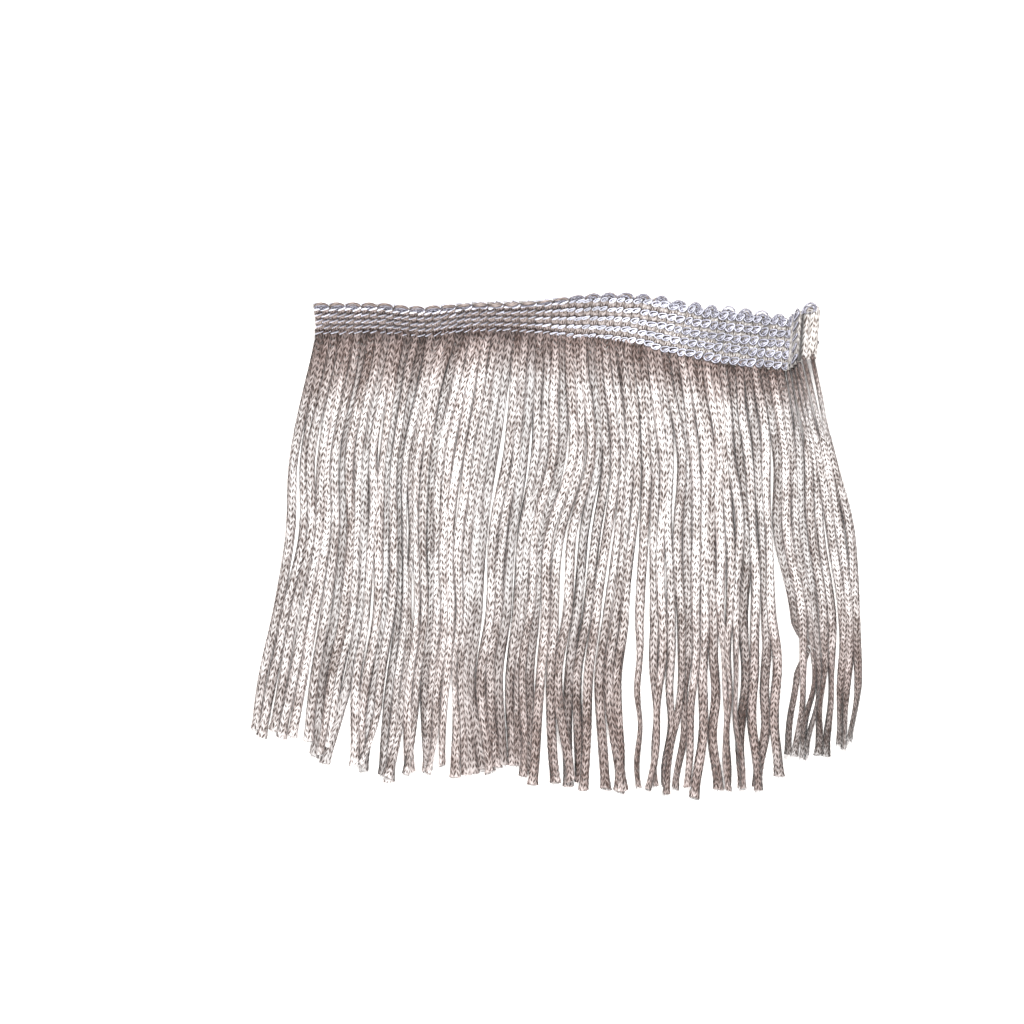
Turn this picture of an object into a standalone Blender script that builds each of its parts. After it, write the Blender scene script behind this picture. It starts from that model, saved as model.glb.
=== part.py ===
# Chainette fringe trim laid out face up: a knitted heading tape along the top and the cut chainette
# strands spread below it. X runs along the heading, Y up to its picot edge and Z off the surface.

import bisect
import math
import random
from collections import namedtuple

import bmesh
import bpy
from mathutils import Matrix, Vector

MM = 0.001

LEGS_PER_PICOT = 2
LEG_PITCH = 1.55
LEG_COUNT = 68

HEADING_HEIGHT = 9.8
HEADING_THICKNESS = 1.4
RIB_COUNT = 5
RIB_RISE = 0.45
RIB_INSET = 0.6
PICOT_RISE = 0.7
COLUMNS_PER_PICOT = 4
HEADING_COLOUR = (0.62, 0.60, 0.64, 1.0)
HEADING_ROUGHNESS = 0.45

CLEARANCE = 0.3
STRIP_WIDTH = 1.3
STRIP_THICKNESS = 1.0

STRAND_HEIGHT_SHARE = 0.85
STRAND_WIDEST = 1.4
STRAND_NARROWEST = 0.86
STRAND_SECTIONS = 15
CURLED_END_SECTIONS = 30
DESCENT_LENGTH = 24.0
TIP_UNEVENNESS = 0.5
TIP_TURN = 0.25
CHAINETTE_COLOUR = (0.74, 0.70, 0.66, 1.0)
CHAINETTE_ROUGHNESS = 0.4
SEED = 11

# The heading's lower front edge from the left end to the curled right end, in millimetres.
# turn is the way across the tape, clockwise from Y, lean how far it stands up, and curl how far
# its picot edge tips forward over its face, in degrees.
Bend = namedtuple("Bend", "x y z turn lean curl")
HEADING_BENDS = (
    Bend(-48.6, 42.5, 0.0, -3, 60, 0),
    Bend(-36.0, 42.6, 0.0, -1, 61, 0),
    Bend(-30.8, 42.35, 0.0, 0, 63, 0),
    Bend(-26.4, 41.95, 0.0, 0, 61, 0),
    Bend(-21.9, 42.65, 0.0, 0, 63, 10),
    Bend(-16.5, 43.05, 0.0, 0, 61, 45),
    Bend(-10.8, 43.1, 0.0, 1, 60, 60),
    Bend(-4.1, 42.6, 0.0, 4, 54, 45),
    Bend(2.5, 41.8, 0.0, 5, 42, 15),
    Bend(9.2, 41.35, 0.0, 6, 33, 0),
    Bend(15.9, 40.5, 0.0, 9, 25, 0),
    Bend(22.5, 38.75, 0.0, 12, 12, 0),
    Bend(29.2, 37.45, 0.0, 10, 0, 0),
    Bend(38.0, 36.2, 0.0, 8, 0, 0),
    Bend(45.6, 35.4, 0.0, 6, 0, 0),
    Bend(47.3, 35.3, 0.5, 5, 0, 0),
    Bend(48.4, 36.1, 2.9, 5, 0, 0),
    Bend(49.3, 36.9, 5.0, 4, 0, 0),
    Bend(50.5, 37.4, 5.9, 4, 0, 0),
    Bend(52.3, 37.6, 6.3, 4, 0, 0),
)
STEPS_PER_BEND = 40

# Each lock of strands, from left to right: how many it holds, its left and right edge at the four
# heights below and at its tips, and the heights of its first and last tip, in millimetres.
Lock = namedtuple("Lock", "strands upper middle lower hem tips tip_heights")
UPPER, MIDDLE, LOWER, HEM = 18.3, 2.1, -14.0, -27.6
LOCKS = [
    Lock(*row)
    for row in (
        (1, (-53.4, -52.2), (-54.6, -53.1), (-57.1, -55.9), (-60.0, -58.7), (-61.3, -60.1), (-36.9, -36.9)),
        (2, (-51.4, -48.4), (-52.0, -49.0), (-55.5, -52.2), (-58.1, -54.9), (-59.9, -56.9), (-38.5, -37.9)),
        (3, (-48.0, -43.6), (-48.8, -44.1), (-52.0, -45.6), (-54.3, -48.3), (-56.9, -49.9), (-38.1, -41.1)),
        (3, (-43.5, -39.1), (-43.8, -39.7), (-45.4, -40.5), (-48.2, -43.5), (-49.8, -46.1), (-42.3, -41.1)),
        (2, (-39.0, -36.1), (-39.6, -36.7), (-40.3, -37.9), (-43.0, -39.5), (-47.4, -41.7), (-44.1, -44.3)),
        (3, (-35.9, -32.3), (-36.6, -32.1), (-37.1, -32.8), (-39.0, -34.4), (-40.7, -36.9), (-45.8, -44.5)),
        (4, (-32.2, -27.3), (-32.0, -27.8), (-32.5, -27.8), (-34.2, -28.8), (-36.5, -29.0), (-47.6, -47.2)),
        (5, (-27.2, -19.2), (-27.7, -20.5), (-27.7, -20.9), (-28.6, -21.7), (-28.9, -22.5), (-47.4, -44.9)),
        (4, (-18.7, -11.8), (-20.3, -14.2), (-20.3, -15.2), (-21.3, -16.7), (-22.1, -14.6), (-47.6, -44.5)),
        (3, (-10.7, -5.7), (-13.6, -8.2), (-14.4, -9.4), (-16.2, -10.8), (-14.2, -9.6), (-46.2, -44.9)),
        (4, (-5.2, 1.9), (-7.6, -2.4), (-8.8, -3.6), (-10.0, -4.7), (-9.4, -3.9), (-44.3, -47.4)),
        (2, (2.1, 5.6), (-2.1, 1.8), (-3.3, 0.7), (-4.3, -0.7), (-3.7, 0.1), (-48.4, -48.0)),
        (4, (5.8, 12.4), (2.0, 11.6), (1.1, 9.2), (-0.5, 7.0), (0.7, 7.2), (-48.8, -49.2)),
        (3, (12.5, 17.3), (11.8, 15.9), (9.4, 14.2), (7.8, 13.0), (8.2, 15.1), (-49.4, -49.4)),
        (1, (17.4, 18.7), (16.5, 18.5), (16.2, 17.5), (16.0, 17.2), (15.7, 16.9), (-48.8, -48.8)),
        (3, (18.8, 23.7), (19.1, 23.2), (18.9, 23.7), (19.0, 23.7), (18.9, 22.6), (-49.0, -49.8)),
        (3, (23.9, 28.9), (23.9, 28.9), (24.3, 28.6), (23.9, 28.4), (22.7, 27.2), (-49.6, -49.8)),
        (2, (29.0, 31.8), (29.1, 31.9), (28.9, 32.4), (28.7, 32.9), (27.8, 32.8), (-50.4, -49.8)),
        (3, (31.9, 36.0), (32.2, 37.5), (32.6, 36.6), (33.2, 36.5), (32.9, 36.3), (-49.8, -49.2)),
        (2, (36.1, 39.3), (37.7, 40.4), (36.7, 40.7), (36.8, 41.1), (36.4, 39.5), (-49.2, -49.2)),
        (2, (39.6, 42.8), (40.8, 43.2), (41.3, 44.5), (41.4, 45.2), (39.9, 43.9), (-49.0, -47.0)),
        (1, (43.7, 45.1), (44.0, 45.4), (47.4, 48.6), (47.6, 48.8), (45.8, 47.2), (-42.3, -42.3)),
        (1, (45.2, 46.8), (46.0, 47.3), (48.8, 50.1), (48.9, 50.2), (47.4, 48.8), (-42.7, -42.7)),
        (2, (47.0, 49.6), (47.7, 50.6), (50.4, 52.6), (51.2, 53.3), (48.9, 51.8), (-43.3, -43.1)),
        (2, (49.7, 52.2), (50.8, 53.8), (53.0, 56.3), (53.4, 55.9), (51.9, 55.3), (-43.3, -41.7)),
        (3, (52.3, 55.9), (54.4, 60.1), (56.9, 61.0), (56.8, 61.1), (55.4, 59.3), (-41.1, -39.7)),
    )
]

# The one kinked strand swings to the right and back, and its neighbour lies over it there.
KINKED_STRAND = 59
KINK_HEIGHT = -21.1
KINK_SPAN = 6.0
KINK_SWING = 1.7
COVER_RISE = 1.6
COVER_SPAN = 10.0


def through(knots, values, at):
    """The smooth curve through the values at the knots, which rise, read at one place."""
    last = len(knots) - 1
    index = min(max(bisect.bisect_right(knots, at) - 1, 0), last - 1)

    def slope(knot):
        before, after = max(knot - 1, 0), min(knot + 1, last)
        return (values[after] - values[before]) / (knots[after] - knots[before])

    span = knots[index + 1] - knots[index]
    t = (at - knots[index]) / span
    if t > 1:
        return values[last] + slope(last) * (at - knots[last])
    if t < 0:
        return values[0] + slope(0) * (at - knots[0])
    start, end = values[index], values[index + 1]
    return (
        start * (1 + 2 * t) * (1 - t) ** 2
        + end * (3 - 2 * t) * t * t
        + span * (slope(index) * t * (1 - t) ** 2 - slope(index + 1) * t * t * (1 - t))
    )


def bell(offset, span):
    """A smooth hump, 1 in its middle and 0 from the span outwards."""
    if abs(offset) >= span:
        return 0.0
    return 0.5 + 0.5 * math.cos(math.pi * offset / span)


class HeadingLine:
    """The heading's lower front edge, read by the length along it."""

    def __init__(self):
        knots = list(range(len(HEADING_BENDS)))
        self.points = []
        self.angles = []
        for step in range(STEPS_PER_BEND * knots[-1] + 1):
            at = step / STEPS_PER_BEND
            x, y, z, turn, lean, curl = (through(knots, column, at) for column in zip(*HEADING_BENDS))
            self.points.append(Vector((x, y, max(z, 0.0))))
            self.angles.append(Vector((turn, max(lean, 0.0), max(curl, 0.0))) * math.pi / 180)
        self.lengths = [0.0]
        for before, after in zip(self.points, self.points[1:]):
            self.lengths.append(self.lengths[-1] + (after - before).length)

    def frame(self, length):
        """Point, inward direction along the surface, direction off the surface, lean and curl."""
        last = len(self.lengths) - 2
        index = min(max(bisect.bisect_right(self.lengths, length) - 1, 0), last)
        start, end = self.points[index], self.points[index + 1]
        share = (length - self.lengths[index]) / (self.lengths[index + 1] - self.lengths[index])
        turn, lean, curl = self.angles[index].lerp(self.angles[index + 1], share)
        inward = Vector((math.sin(turn), math.cos(turn), 0.0))
        off = (end - start).cross(inward).normalized()
        return start.lerp(end, share), inward, off, lean, curl


def moved_slab(shape, columns, rows, place):
    """Adds a closed slab, a grid of columns by rows extruded once, each point put where place says."""
    grid = bmesh.ops.create_grid(shape, x_segments=columns, y_segments=rows, size=1)["verts"]
    faces = list({face for point in grid for face in point.link_faces})
    raised = bmesh.ops.extrude_face_region(shape, geom=faces, use_keep_orig=True)["geom"]
    front = {item for item in raised if isinstance(item, bmesh.types.BMVert)}
    for point in [*grid, *front]:
        across = (point.co.x + 1) / 2
        up = (point.co.y + 1) / 2
        point.co = place(across, up, point in front) * MM


def finished(name, shape, collection, colour, roughness):
    """Makes an object of the shape with its own material."""
    bmesh.ops.recalc_face_normals(shape, faces=shape.faces)
    mesh = bpy.data.meshes.new(name)
    shape.to_mesh(mesh)
    shape.free()
    material = bpy.data.materials.new(name)
    material.use_nodes = True
    principled = material.node_tree.nodes["Principled BSDF"]
    principled.inputs["Base Color"].default_value = colour
    principled.inputs["Roughness"].default_value = roughness
    material.diffuse_color = colour
    mesh.materials.append(material)
    made = bpy.data.objects.new(name, mesh)
    collection.objects.link(made)
    return made


def heading_rows():
    """Heights above the lower edge and the rise there: edge, crest, hollow, crest and so on to the edge."""
    pitch = (HEADING_HEIGHT - 2 * RIB_INSET) / (RIB_COUNT - 1)
    rows = [(0.0, 0.0)]
    for rib in range(RIB_COUNT):
        crest = RIB_INSET + rib * pitch
        rows.append((crest, RIB_RISE))
        if rib < RIB_COUNT - 1:
            rows.append((crest + pitch / 2, 0.0))
    rows.append((HEADING_HEIGHT, 0.0))
    return rows


def make_heading(line, collection):
    """The knitted tape: five raised chain ribs along it and a picot for each two legs on its top edge."""
    rows = heading_rows()
    picots = LEG_COUNT // LEGS_PER_PICOT
    top_rib = HEADING_HEIGHT - RIB_INSET

    def place(across, up, on_front):
        height, rise = rows[round(up * (len(rows) - 1))]
        scallop = math.sin(math.pi * across * picots) ** 2
        near_top = max(1 - (HEADING_HEIGHT - height) / (2 * RIB_INSET), 0.0)
        height += PICOT_RISE * scallop * near_top
        point, inward, off, lean, curl = line.frame(across * LEG_COUNT * LEG_PITCH)
        tape = inward * math.cos(lean) + off * math.sin(lean)
        face = off * math.cos(lean) - inward * math.sin(lean)
        edge = max(height - top_rib, 0.0)
        back = point + inward * HEADING_THICKNESS * math.sin(lean) + tape * (height - edge)
        back += (tape * math.cos(curl) + face * math.sin(curl)) * edge
        return back + face * (HEADING_THICKNESS + rise) if on_front else back

    shape = bmesh.new()
    moved_slab(shape, picots * COLUMNS_PER_PICOT, len(rows) - 1, place)
    return finished("heading", shape, collection, HEADING_COLOUR, HEADING_ROUGHNESS)


def make_strip(line, collection):
    """The narrow strip that the strands' roots are fused into, just below the heading's edge."""

    def place(across, up, on_front):
        point, inward, off, _, _ = line.frame(across * LEG_COUNT * LEG_PITCH)
        foot = point - inward * (CLEARANCE + STRIP_WIDTH * (1 - up))
        return foot + off * STRIP_THICKNESS if on_front else foot

    shape = bmesh.new()
    moved_slab(shape, LEG_COUNT, 1, place)
    return finished("fringe", shape, collection, CHAINETTE_COLOUR, CHAINETTE_ROUGHNESS)


def strand_routes(line):
    """Each strand's knots by falling height: its heights, its middles and the widths it has there."""
    chance = random.Random(SEED)
    routes = []
    for lock in LOCKS:
        for place in range(lock.strands):
            share = (place + 0.5) / lock.strands
            root, inward, _, _, _ = line.frame((len(routes) + 0.5) * LEG_PITCH)
            root = root - inward * (CLEARANCE + STRIP_WIDTH / 2)
            first, last = lock.tip_heights
            tip = first + (last - first) * share + chance.uniform(-TIP_UNEVENNESS, TIP_UNEVENNESS)
            edges = (lock.upper, lock.middle, lock.lower, lock.hem, lock.tips)
            middles = [root.x] + [left + (right - left) * share for left, right in edges]
            slots = [LEG_PITCH] + [(right - left) / lock.strands for left, right in edges]
            if root.z > 0:
                slots[0] = 0.0
            routes.append((root, [root.y, UPPER, MIDDLE, LOWER, HEM, tip], middles, slots))
    return routes


def strand_point(number, route, along):
    """Middle of the strand's underside at a share of its length, and its width."""
    root, heights, middles, slots = route
    height = root.y + (heights[-1] - root.y) * along
    falling = [-knot for knot in heights]
    middle = through(falling, middles, -height)
    slot = through(falling, slots, -height)
    width = min(max(slot - CLEARANCE, STRAND_NARROWEST), STRAND_WIDEST)
    fall = min((root.y - height) / DESCENT_LENGTH, 1.0)
    rise = root.z * (1 - fall) ** 2 * (1 + 2 * fall)
    if number == KINKED_STRAND:
        middle += KINK_SWING * bell(height - KINK_HEIGHT, KINK_SPAN)
    if number == KINKED_STRAND + 1:
        rise += COVER_RISE * bell(height - KINK_HEIGHT, COVER_SPAN)
    return Vector((middle, height, rise)), width


def make_strands(line, collection):
    """All strands, each a flat-bottomed bar of four sides with its cut end a little off square."""
    chance = random.Random(SEED)
    shape = bmesh.new()
    for number, route in enumerate(strand_routes(line)):
        turn = chance.uniform(-TIP_TURN, TIP_TURN)
        sections = STRAND_SECTIONS if number < KINKED_STRAND else CURLED_END_SECTIONS

        def place(across, up, on_front):
            foot, width = strand_point(number, route, up)
            side = (across - 0.5) * width
            cut = turn * side if round(up * sections) == sections else 0.0
            top = width * STRAND_HEIGHT_SHARE if on_front else 0.0
            return foot + Vector((side, cut, top))

        moved_slab(shape, 1, sections, place)
    return finished("strands", shape, collection, CHAINETTE_COLOUR, CHAINETTE_ROUGHNESS)


def fuse(base, added):
    """Unites the added object with the base and removes it."""
    union = base.modifiers.new("fuse", "BOOLEAN")
    union.operation = "UNION"
    union.solver = "EXACT"
    union.object = added
    graph = bpy.context.evaluated_depsgraph_get()
    fused = bpy.data.meshes.new_from_object(base.evaluated_get(graph))
    base.modifiers.remove(union)
    base.data = fused
    bpy.data.objects.remove(added)


def centre_on_base(objects):
    """Moves all points so that the box around them is centred on X and Y and stands on Z = 0."""
    corners = [Vector(corner) for item in objects for corner in item.bound_box]
    low = Vector(map(min, zip(*corners)))
    high = Vector(map(max, zip(*corners)))
    shift = Vector((-(low.x + high.x) / 2, -(low.y + high.y) / 2, -low.z))
    for item in objects:
        item.data.transform(Matrix.Translation(shift))


def main():
    for old in list(bpy.data.objects):
        bpy.data.objects.remove(old)
    collection = bpy.data.collections.new("chainette_fringe_trim")
    bpy.context.scene.collection.children.link(collection)
    line = HeadingLine()
    heading = make_heading(line, collection)
    fringe = make_strip(line, collection)
    strands = make_strands(line, collection)
    bpy.context.view_layer.update()
    fuse(fringe, strands)
    bpy.context.view_layer.update()
    centre_on_base([heading, fringe])


main()
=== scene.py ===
import math
import random

import bpy
import numpy as np
from mathutils import Matrix, Vector


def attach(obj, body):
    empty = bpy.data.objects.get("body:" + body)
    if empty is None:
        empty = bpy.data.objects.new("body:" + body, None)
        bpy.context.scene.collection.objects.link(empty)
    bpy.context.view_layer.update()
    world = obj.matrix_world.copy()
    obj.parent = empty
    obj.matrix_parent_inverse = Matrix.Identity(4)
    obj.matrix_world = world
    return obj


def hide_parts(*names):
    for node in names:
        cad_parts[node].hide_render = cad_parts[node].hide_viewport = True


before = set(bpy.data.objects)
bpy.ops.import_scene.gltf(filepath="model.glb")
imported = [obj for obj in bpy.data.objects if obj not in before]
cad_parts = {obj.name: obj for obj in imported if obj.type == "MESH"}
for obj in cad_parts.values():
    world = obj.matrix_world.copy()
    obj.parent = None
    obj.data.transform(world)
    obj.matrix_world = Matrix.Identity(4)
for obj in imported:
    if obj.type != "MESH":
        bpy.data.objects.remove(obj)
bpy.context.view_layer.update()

# A short length of chainette fringe trim, laid out face up. Shapes are modelled in millimetres
# and brought to metres when a piece is finished.
bpy.ops.object.select_all(action="DESELECT")
mm = 0.001
seeds = {"strands": 23, "stitches": 5, "tips": 11}
chance = random.Random(seeds["strands"])
stitchChance = np.random.default_rng(seeds["stitches"])
print("frame loaded")


def through(knots, values, at):
    # the smooth curve through the values at the rising knots, straight on beyond its ends
    knots, values, at = (np.array(given, float) for given in (knots, values, at))
    number = np.arange(len(knots))
    before, after = np.maximum(number - 1, 0), np.minimum(number + 1, len(knots) - 1)
    slopes = (values[after] - values[before]) / (knots[after] - knots[before])
    inside = np.clip(at, knots[0], knots[-1])
    index = np.clip(np.searchsorted(knots, inside, "right") - 1, 0, len(knots) - 2)
    span = knots[index + 1] - knots[index]
    t = (inside - knots[index]) / span
    return (
        values[index] * (1 + 2 * t) * (1 - t) ** 2
        + values[index + 1] * (3 - 2 * t) * t * t
        + span * (slopes[index] * t * (1 - t) ** 2 - slopes[index + 1] * t * t * (1 - t))
        + (at - inside) * np.where(at > knots[-1], slopes[-1], slopes[0])
    )


def bell(offset, span):
    # a smooth hump, 1 in its middle and 0 from the span outwards
    return np.where(np.abs(offset) < span, 0.5 + 0.5 * np.cos(np.pi * offset / span), 0.0)


def growing(distance, length):
    # 0 up to the start of the length, 1 from its end on
    return np.clip(distance / length, 0, 1)


def fading(distance, length):
    return np.clip(1 - distance / length, 0, 1)


def lengthsBetween(places):
    return np.linalg.norm(np.diff(places, axis=0), axis=1)


def pointsOf(piece):
    found = np.empty(len(piece.data.vertices) * 3)
    piece.data.vertices.foreach_get("co", found)
    return found.reshape(-1, 3)


def movePoints(piece, places):
    piece.data.vertices.foreach_set("co", np.asarray(places, np.float32).ravel())
    piece.data.update()


def mark(piece, name, values):
    # one number for each point, or one for all, read by the materials
    marks = piece.data.attributes.get(name) or piece.data.attributes.new(name, "FLOAT", "POINT")
    marks.data.foreach_set("value", np.full(len(piece.data.vertices), values, np.float32))


def chosen(*pieces):
    bpy.ops.object.select_all(action="DESELECT")
    for piece in pieces:
        piece.select_set(True)
    bpy.context.view_layer.objects.active = pieces[0]


def added(thing):
    bpy.context.scene.collection.objects.link(thing)
    return thing


def copyOf(piece):
    twin = added(piece.copy())
    twin.data = piece.data.copy()
    return twin


def applied(piece, kind, **settings):
    modifier = piece.modifiers.new(kind.lower(), kind)
    for setting, value in settings.items():
        setattr(modifier, setting, value)
    chosen(piece)
    bpy.ops.object.modifier_apply(modifier=modifier.name)


def repeated(piece, count, pitch):
    # the piece again and again along X
    applied(piece, "ARRAY", count=count, use_relative_offset=False, use_constant_offset=True,
            constant_offset_displace=(pitch, 0, 0))


def joined(pieces, name):
    chosen(*pieces)
    if len(pieces) > 1:
        bpy.ops.object.join()
    whole = bpy.context.object
    whole.name = name
    return whole


def smooth(piece):
    chosen(piece)
    bpy.ops.object.shade_smooth()


def newPiece():
    # the primitive that was just added, its UV map named as the materials read it
    piece = bpy.context.object
    piece.data.uv_layers[0].name = "stitches"
    return piece


def faceOut(piece, mergeWithin=0.0):
    chosen(piece)
    bpy.ops.object.mode_set(mode="EDIT")
    bpy.ops.mesh.select_all(action="SELECT")
    if mergeWithin:
        bpy.ops.mesh.remove_doubles(threshold=mergeWithin)
    bpy.ops.mesh.normals_make_consistent(inside=False)
    bpy.ops.object.mode_set(mode="OBJECT")


# the line of the heading, from its left end to the curled right end
tape = {
    # x y z of the lower front edge, the way across it clockwise from Y, how far it leans up
    # and how far its picot edge tips forward, in degrees
    "bends": (
        (-48.6, 42.5, 0.0, -3, 60, 0),
        (-36.0, 42.6, 0.0, -1, 61, 0),
        (-30.8, 42.35, 0.0, 0, 63, 0),
        (-26.4, 41.95, 0.0, 0, 61, 0),
        (-21.9, 42.65, 0.0, 0, 63, 10),
        (-16.5, 43.05, 0.0, 0, 61, 45),
        (-10.8, 43.1, 0.0, 1, 60, 60),
        (-4.1, 42.6, 0.0, 4, 54, 45),
        (2.5, 41.8, 0.0, 5, 42, 15),
        (9.2, 41.35, 0.0, 6, 33, 0),
        (15.9, 40.5, 0.0, 9, 25, 0),
        (22.5, 38.75, 0.0, 12, 12, 0),
        (29.2, 37.45, 0.0, 10, 0, 0),
        (38.0, 36.2, 0.0, 8, 0, 0),
        (45.6, 35.4, 0.0, 6, 0, 0),
        (47.3, 35.3, 0.5, 5, 0, 0),
        (48.4, 36.1, 2.9, 5, 0, 0),
        (49.3, 36.9, 5.0, 4, 0, 0),
        (50.5, 37.4, 5.9, 4, 0, 0),
        (52.3, 37.6, 6.3, 4, 0, 0),
    ),
    "length": 105.4,
    "thickness": 1.4,
    "legs": 64,
    # where even places of the legs come to lie, as they stand wider apart at the right
    "legPlaces": ((0, 47.9, 62.7, 68.7, 74.4, 105.4), (0, 46.0, 60.0, 66.0, 72.0, 105.4)),
    "stepsPerBend": 40,
    "spare": 3.0,  # how far its line goes straight on past both ends
    "curlFrom": 9.2,  # the height above which the edge tips forward
}
bendNumbers = np.arange(len(tape["bends"]))
steps = np.linspace(0, bendNumbers[-1], bendNumbers[-1] * tape["stepsPerBend"] + 1)
lineX, lineY, lineZ, lineTurn, lineLean, lineCurl = (
    through(bendNumbers, column, steps) for column in zip(*tape["bends"])
)
linePoints = np.column_stack((lineX, lineY, np.maximum(lineZ, 0)))
lineWays = np.gradient(linePoints, axis=0)
lineWays /= np.linalg.norm(lineWays, axis=1)[:, None]
linePoints = np.vstack((
    linePoints[0] - lineWays[0] * tape["spare"],
    linePoints,
    linePoints[-1] + lineWays[-1] * tape["spare"],
))
lineWays = np.vstack((lineWays[0], lineWays, lineWays[-1]))
lineTurn = np.radians(np.pad(lineTurn, 1, "edge"))
lineLean = np.radians(np.maximum(np.pad(lineLean, 1, "edge"), 0))
lineCurl = np.radians(np.maximum(np.pad(lineCurl, 1, "edge"), 0))
lineLengths = np.concatenate(([0], np.cumsum(lengthsBetween(linePoints)))) - tape["spare"]
legPitch = tape["length"] / tape["legs"]


def spaced(along):
    return through(*tape["legPlaces"], along)


def leanAt(along):
    return np.interp(spaced(along), lineLengths, lineLean)


def onTape(along, height, depth):
    # a place in space, from the length along the heading, the height above its lower edge
    # and the depth off its back
    along = spaced(along)

    def read(values):
        return np.interp(along, lineLengths, values)

    point = np.stack([read(linePoints[:, axis]) for axis in range(3)], -1)
    way = np.stack([read(lineWays[:, axis]) for axis in range(3)], -1)
    turn, lean, curl = read(lineTurn), read(lineLean)[..., None], read(lineCurl)[..., None]
    inward = np.stack((np.sin(turn), np.cos(turn), np.zeros_like(turn)), -1)
    off = np.cross(way, inward)
    off /= np.linalg.norm(off, axis=-1)[..., None]
    up = inward * np.cos(lean) + off * np.sin(lean)
    face = off * np.cos(lean) - inward * np.sin(lean)
    height, depth = np.asarray(height)[..., None], np.asarray(depth)[..., None]
    edge = np.maximum(height - tape["curlFrom"], 0)
    flat = point + inward * tape["thickness"] * np.sin(lean) + up * (height - edge) + face * depth
    return flat + (up * np.cos(curl) + face * np.sin(curl)) * edge


def layOnTape(piece):
    flat = pointsOf(piece)
    movePoints(piece, onTape(flat[:, 0], flat[:, 1], flat[:, 2]))


def material(name):
    made = bpy.data.materials.new(name)
    made.use_nodes = True
    return made, made.node_tree, made.node_tree.nodes["Principled BSDF"]


def node(tree, kind, **values):
    made = tree.nodes.new("ShaderNode" + kind)
    for key, value in values.items():
        if key in made.inputs:
            made.inputs[key].default_value = value
        else:
            setattr(made, key, value)
    return made


def setSockets(made, values):
    for name, value in values.items():
        made.inputs[name].default_value = value


def ramp(tree, stops):
    made = node(tree, "ValToRGB")
    elements = made.color_ramp.elements
    while len(elements) < len(stops):
        elements.new(0.5)
    for element, (at, colour) in zip(elements, stops):
        element.position = at
        element.color = (*colour, 1)
    return made


def step(tree, operation, first, second=None):
    # one sum in a material, of sockets or numbers
    made = node(tree, "Math", operation=operation)
    for socket, value in zip(made.inputs, (first, second)):
        if isinstance(value, (int, float)):
            socket.default_value = value
        elif value is not None:
            tree.links.new(value, socket)
    return made.outputs["Value"]


def knitCrests(tree, across, along, knit):
    # light yarns that run into each other, with painted shade in a short slit at each half stitch
    drift = node(tree, "CombineXYZ")
    tree.links.new(step(tree, "MULTIPLY", along, knit["driftScale"]), drift.inputs["X"])
    tree.links.new(across, drift.inputs["Y"])
    drifting = node(tree, "TexNoise", Scale=1.0, Detail=1.0)
    tree.links.new(drift.outputs["Vector"], drifting.inputs["Vector"])
    shift = step(tree, "MULTIPLY", step(tree, "SUBTRACT", drifting.outputs["Fac"], 0.5), knit["drift"])
    column = step(tree, "FLOOR", step(tree, "DIVIDE", across, 2.0))
    moved = step(tree, "ADD", along, step(tree, "DIVIDE", column, cord["columns"] / 2))
    moved = step(tree, "ADD", moved, shift)
    within = step(tree, "FRACT", moved)
    thick = step(tree, "SINE", step(tree, "MULTIPLY", within, math.pi))
    thick = step(tree, "POWER", thick, knit["roundness"])
    arm = step(tree, "SINE", step(tree, "MULTIPLY", step(tree, "FRACT", across), math.pi))
    arm = step(tree, "POWER", arm, knit["narrowness"])
    cell = node(tree, "CombineXYZ")
    tree.links.new(step(tree, "FLOOR", step(tree, "ADD", moved, 0.5)), cell.inputs["X"])
    tree.links.new(step(tree, "FLOOR", across), cell.inputs["Y"])
    dice = node(tree, "TexWhiteNoise")
    tree.links.new(cell.outputs["Vector"], dice.inputs["Vector"])
    shallow = step(tree, "MULTIPLY", dice.outputs["Value"], knit["unevenness"])
    depth = step(tree, "SUBTRACT", knit["depth"], shallow)
    slit = step(tree, "MULTIPLY", step(tree, "SUBTRACT", 1.0, thick), arm)
    slit = step(tree, "MULTIPLY", slit, depth)
    dull = step(tree, "FRACT", step(tree, "MULTIPLY", dice.outputs["Value"], knit["dullShuffle"]))
    dull = step(tree, "MULTIPLY", dull, knit["dullness"])
    return step(tree, "SUBTRACT", step(tree, "SUBTRACT", 1.0, slit), dull)


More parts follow.
